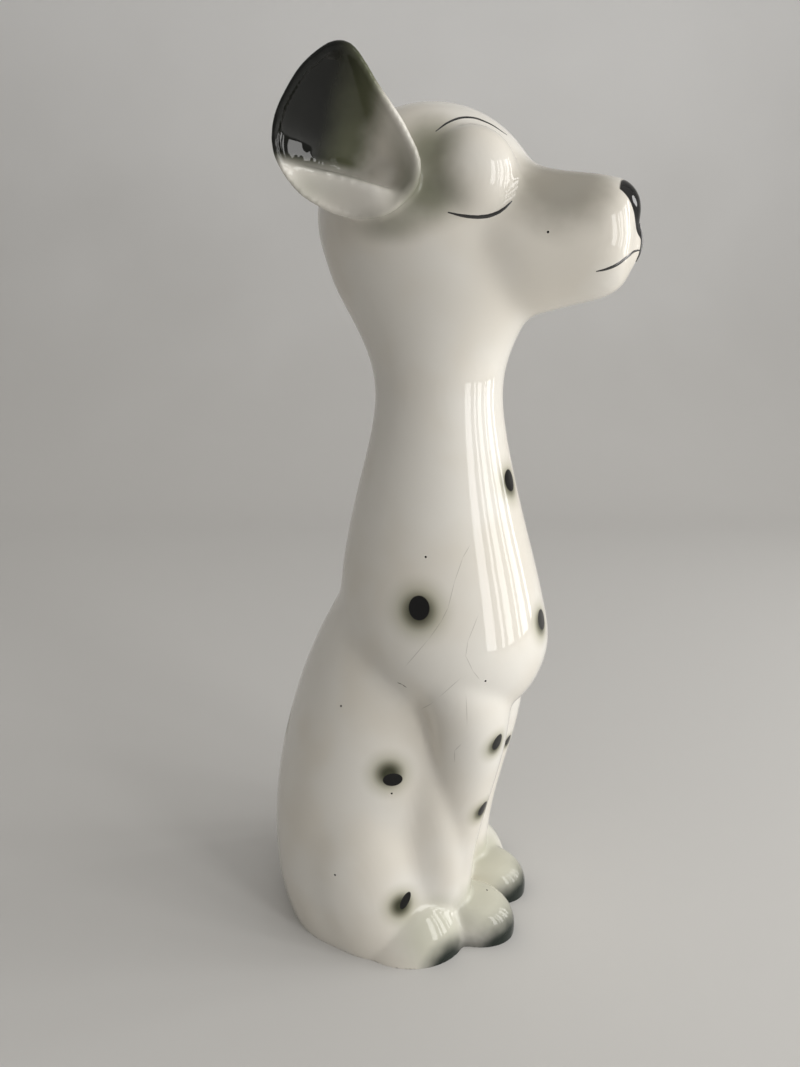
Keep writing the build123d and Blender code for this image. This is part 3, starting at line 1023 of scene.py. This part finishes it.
def ear_paint(paints, colour, folded, spray):
    """Cream at the ear's root, then olive, and black towards its point. The lower lip stays cream."""
    back, up, into = paints.turned(folded, EAR_ROOT, (EAR_BACK, EAR_UP, -EAR_OUT))
    fold = paints.sum("ADD", paints.sum("MULTIPLY", back, EAR_FOLD_SLOPE), EAR_FOLD_START)
    on_ear = paints.fade(paints.sum("SUBTRACT", fold, up), EAR_FOLD_ABOVE, EAR_FOLD_BELOW)
    on_ear = paints.sum("MULTIPLY", on_ear, paints.fade(into, EAR_PAINT_UNTIL, EAR_PAINT_DEEP))
    slant = paints.sum("ADD", back, paints.sum("MULTIPLY", up, EAR_SLANT))
    away = paints.sum("SUBTRACT", paints.sum("MULTIPLY", spray, EAR_GRAIN), slant)
    olive = paints.fade(away, -EAR_OLIVE_FULL, -EAR_OLIVE_STARTS)
    colour = paints.coat_over(colour, OLIVE, paints.sum("MULTIPLY", on_ear, olive))
    black = paints.fade(away, -EAR_BLACK_FULL, -EAR_BLACK_STARTS)
    return paints.coat_over(colour, OLIVE_BLACK, paints.sum("MULTIPLY", on_ear, black))


print("an ear is black from", EAR_BLACK_FULL, "mm behind its root")

# %% Spot paint
HALO_COATS = [
    # colour, strength and where it ends, in half sizes
    (SPOT_OLIVE, 0.8, 1.6),
    (SPOT_HALO, 0.95, 0.95),
]
HALO_FULL = 0.2
CORE_FULL, CORE_ENDS = 0.95, 1.06
LINE_FULL, LINE_ENDS = 0.4, 1.0


def spotted(paints, colour):
    """Halos and cores of the spots, pinholes, cracks and the scratch."""
    for kind, middle, half, turn in patches:
        reach = paints.oval(paints.place, middle, half, turn)
        if kind == "halo":
            for tint, strength, none in HALO_COATS:
                amount = paints.sum("MULTIPLY", paints.fade(reach, HALO_FULL, none), strength)
                colour = paints.coat_over(colour, tint, amount)
        elif kind == "core":
            colour = paints.coat_over(colour, SPOT_BLACK, paints.fade(reach, CORE_FULL, CORE_ENDS))
        else:
            line = paints.fade(reach, LINE_FULL, LINE_ENDS)
            amount = paints.sum("MULTIPLY", line, LINE_STRENGTH[kind])
            colour = paints.coat_over(colour, LINE_BROWN, amount)
    return colour


print("kinds of patch:", sorted({patch[0] for patch in patches}))

# %% Nose paint
NOSE_TOP, NOSE_POINT, NOSE_HALF = 328.5, 307, 12.5
NOSE_START_X = 71.5
NOSE_OVAL = (76, 0, 317.5), (60, 13.6, 11)


def nose_paint(paints, colour, x, y, z):
    """A black pad on the tip of the muzzle, which comes to a point below."""
    rise = paints.sum("DIVIDE", paints.sum("SUBTRACT", z, NOSE_POINT), NOSE_TOP - NOSE_POINT)
    widening = paints.sum("POWER", paints.sum("MAXIMUM", rise, 0.0), 0.5)
    half_wide = paints.sum("MULTIPLY", widening, NOSE_HALF)
    edge = paints.sum("SUBTRACT", paints.sum("ABSOLUTE", y), half_wide)
    pad = paints.sum("MULTIPLY", paints.fade(edge, -0.3, 0.3), paints.fade(rise, 0.97, 1.0))
    pad = paints.sum("MULTIPLY", pad, paints.fade(paints.sum("SUBTRACT", NOSE_START_X, x), -0.4, 0.4))
    pad = paints.sum("MULTIPLY", pad, paints.fade(paints.oval(paints.place, *NOSE_OVAL), 0.97, 1.03))
    return paints.coat_over(colour, SPOT_BLACK, pad)


print("nose pad from", NOSE_POINT, "to", NOSE_TOP, "mm high")

# %% White glaze
GLAZE_LEVELS = {
    "Roughness": 0.5,
    "Specular IOR Level": 0.0,
    "Coat Weight": 1.0,
    "Coat Roughness": 0.03,
    "Coat IOR": 1.42,
}
RIPPLE_SIZE, RIPPLE_STRENGTH, RIPPLE_DEEP = 16, 0.12, 0.0006
SPRAY_SIZE, CLOUD_SIZE = 9, 42


def white_glaze():
    """Cream glaze with all its paint under a clear coat that ripples a little."""
    paints = Paints("white_glaze")
    x, y, z = paints.split(paints.place)
    folded = paints.tree.nodes.new("ShaderNodeCombineXYZ")
    paints.give(folded.inputs[0], x)
    paints.give(folded.inputs[1], paints.sum("MULTIPLY", paints.sum("ABSOLUTE", y), -1.0))
    paints.give(folded.inputs[2], z)
    spray = paints.sum("SUBTRACT", paints.noise(paints.place, SPRAY_SIZE), 0.5)
    cloud = paints.fade(paints.noise(paints.place, CLOUD_SIZE), 0.38, 0.62)
    colour = paints.coat_over(CREAM, WARM_CREAM, cloud)
    # airbrushed olive, celadon and green, with painted shade below the ear, on its lip and on the muzzle
    colour = airbrushed_and_shaded(paints, colour, folded.outputs[0], spray)
    colour = ear_paint(paints, colour, folded.outputs[0], spray)
    colour = spotted(paints, colour)
    colour = nose_paint(paints, colour, x, y, z)
    ripple = paints.tree.nodes.new("ShaderNodeBump")
    ripple.inputs["Strength"].default_value = RIPPLE_STRENGTH
    ripple.inputs["Distance"].default_value = RIPPLE_DEEP
    paints.give(ripple.inputs["Height"], paints.noise(paints.place, RIPPLE_SIZE, detail=1.0))
    paints.give(paints.surface.inputs["Normal"], ripple.outputs[0])
    paints.give(paints.surface.inputs["Coat Normal"], ripple.outputs[0])
    return paints.finish(colour, GLAZE_LEVELS)


glaze = white_glaze()
print("glaze nodes:", len(glaze.node_tree.nodes))

# %% Black enamel
ENAMEL_LEVELS = {"Roughness": 0.3, "Coat Weight": 1.0, "Coat Roughness": 0.04}


def black_enamel():
    """Black brush line, a little thinner in places."""
    paints = Paints("black_enamel")
    thin = paints.fade(paints.noise(paints.place, 3), 0.7, 0.4)
    return paints.finish(paints.coat_over(SPOT_BLACK, THIN_BLACK, thin), ENAMEL_LEVELS)


enamel = black_enamel()
print("enamel nodes:", len(enamel.node_tree.nodes))

# %% Every piece gets its finish
def dress(piece, finish):
    """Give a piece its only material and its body."""
    piece.data.materials.clear()
    piece.data.materials.append(finish)
    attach(piece, "root")


for node_name, piece in castings.items():
    dress(piece, glaze)
    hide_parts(node_name)
for piece in strokes:
    dress(piece, enamel)
print("dressed:", len(castings), "castings and", len(strokes), "strokes")

# %% [markdown]
# ## Studio
# The figure stands on a pale floor that runs up into a backdrop behind it. Most of its light comes from in
# front of the dog, and shows as upright streaks on the neck, so a row of tall soft lamps stands there. The
# room around them gets brighter upwards and darker behind the dog. One wide lamp would be simpler, but would
# leave one broad patch in the gloss. The camera and the gloss see the room as an even grey, so that it
# doesn't cloud the black paint.

# %% Floor
FLOOR_DEEP, FLOOR_WIDE, WALL_HIGH = 1.3, 6.0, 2.5
FLOOR_CURVE, FLOOR_CURVE_STEPS = 0.5, 16
PAPER_GREY, PAPER_WHITE = linear(206, 205, 203), linear(244, 244, 244)
PAPER_GREY_FROM, PAPER_WHITE_AT = -150.0, 900.0
MOTTLE_SIZE, MOTTLE_HIGH = 260, 300.0


def studio_paper():
    """Pale grey paper with a slight mottle, paler higher up."""
    paints = Paints("studio_paper")
    height = paints.split(paints.place)["Z"]
    mottle = paints.sum("MULTIPLY", paints.noise(paints.place, MOTTLE_SIZE), MOTTLE_HIGH)
    higher = paints.fade(paints.sum("SUBTRACT", mottle, height), -PAPER_WHITE_AT, -PAPER_GREY_FROM)
    return paints.finish(paints.coat_over(PAPER_GREY, PAPER_WHITE, higher), {"Roughness": 0.8})


clear_selection()
bpy.ops.mesh.primitive_plane_add(size=FLOOR_WIDE)
floor = bpy.context.object
floor.name = "floor_and_backdrop"
bpy.ops.object.mode_set(mode="EDIT")
bpy.ops.mesh.select_all(action="DESELECT")
bpy.ops.object.mode_set(mode="OBJECT")
for edge in floor.data.edges:
    edge.select = all(floor.data.vertices[v].co.y > 0 for v in edge.vertices)
bpy.ops.object.mode_set(mode="EDIT")
bpy.ops.mesh.select_mode(type="EDGE")
bpy.ops.transform.translate(value=(0, FLOOR_DEEP - FLOOR_WIDE / 2, 0))
bpy.ops.mesh.extrude_region_move(TRANSFORM_OT_translate={"value": (0, 0, WALL_HIGH)})
bpy.ops.object.mode_set(mode="OBJECT")
for edge in floor.data.edges:
    ends = [floor.data.vertices[v].co for v in edge.vertices]
    edge.select = all(end.y > 0 and end.z < 0.01 for end in ends)
bpy.ops.object.mode_set(mode="EDIT")
bpy.ops.mesh.bevel(offset=FLOOR_CURVE, segments=FLOOR_CURVE_STEPS)
bpy.ops.object.mode_set(mode="OBJECT")
bpy.ops.object.shade_smooth()
floor.rotation_euler = (0, 0, math.radians(CAMERA_AZIMUTH))
bpy.ops.object.transform_apply(location=False, rotation=True, scale=False)
floor.data.materials.append(studio_paper())
print("floor:", len(floor.data.polygons), "faces")

# %% Lamps
STRIPS = [
    # azimuth from the dog's nose, away from the camera, in degrees, and width in metres
    (-28, 0.22),
    (-14, 0.07),
    (-4, 0.17),
    (9, 0.06),
    (19, 0.20),
    (33, 0.09),
]
STRIP_AWAY, STRIP_LOW, STRIP_HIGH = 1.15, 0.04, 0.95
STRIP_MIDDLE, STRIP_TALL = (STRIP_LOW + STRIP_HIGH) / 2, STRIP_HIGH - STRIP_LOW
STRIP_GLARE = 5.4
DAYLIGHT = (1, 0.99, 0.97)


def soft_lamp(name, place, target, wide, tall, power):
    """An upright area lamp that faces a target."""
    clear_selection()
    bpy.ops.object.light_add(type="AREA", location=place)
    lamp = bpy.context.object
    lamp.name = name
    lamp.data.shape = "RECTANGLE"
    lamp.data.size = wide
    lamp.data.size_y = tall
    lamp.data.energy = power
    lamp.data.color = DAYLIGHT
    lamp.rotation_euler = (Vector(target) - Vector(place)).to_track_quat("-Z", "Y").to_euler()


for number, (azimuth, wide) in enumerate(STRIPS):
    way = math.radians(azimuth)
    place = (STRIP_AWAY * math.cos(way), STRIP_AWAY * math.sin(way), STRIP_MIDDLE)
    power = STRIP_GLARE * math.pi * wide * STRIP_TALL
    soft_lamp(f"window_{number}", place, (0, 0, STRIP_MIDDLE), wide, STRIP_TALL, power)
print("lamps:", len(STRIPS))

# %% Room
ROOM_DARK, ROOM_BRIGHT, ROOM_RISES = 0.1, 0.8, (0.1, 0.75)
ROOM_BEHIND, ROOM_AHEAD, ROOM_OPENS = 0.32, 1.0, (-0.9, 0.3)
ROOM_SEEN = 0.36

world = bpy.data.worlds.new("room")
bpy.context.scene.world = world
world.use_nodes = True
room = world.node_tree


def room_fade(value, low, high, at_low, at_high):
    """A soft step between two levels of light."""
    node = room.nodes.new("ShaderNodeMapRange")
    node.interpolation_type = "SMOOTHSTEP"
    for socket, level in (("From Min", low), ("From Max", high), ("To Min", at_low), ("To Max", at_high)):
        node.inputs[socket].default_value = level
    room.links.new(value, node.inputs["Value"])
    return node.outputs[0]


def room_sum(operation, first, second):
    """A sum of two linked numbers."""
    node = room.nodes.new("ShaderNodeMath")
    node.operation = operation
    room.links.new(first, node.inputs[0])
    room.links.new(second, node.inputs[1])
    return node.outputs[0]


directions = room.nodes.new("ShaderNodeTexCoord")
ways = room.nodes.new("ShaderNodeSeparateXYZ")
room.links.new(directions.outputs["Generated"], ways.inputs[0])
upwards = room_fade(ways.outputs["Z"], *ROOM_RISES, ROOM_DARK, ROOM_BRIGHT)
forwards = room_fade(ways.outputs["X"], *ROOM_OPENS, ROOM_BEHIND, ROOM_AHEAD)
rays = room.nodes.new("ShaderNodeLightPath")
straight = rays.outputs["Is Camera Ray"]
for kind in ("Is Glossy Ray", "Is Transmission Ray"):
    straight = room_sum("MAXIMUM", straight, rays.outputs[kind])
strength = room.nodes.new("ShaderNodeMix")
room.links.new(straight, strength.inputs["Factor"])
room.links.new(room_sum("MULTIPLY", upwards, forwards), strength.inputs["A"])
strength.inputs["B"].default_value = ROOM_SEEN
background = room.nodes["Background"]
room.links.new(strength.outputs["Result"], background.inputs["Strength"])
background.inputs["Color"].default_value = linear(255, 252, 247)
bpy.context.scene.view_settings.view_transform = "Standard"
print("room nodes:", len(room.nodes))
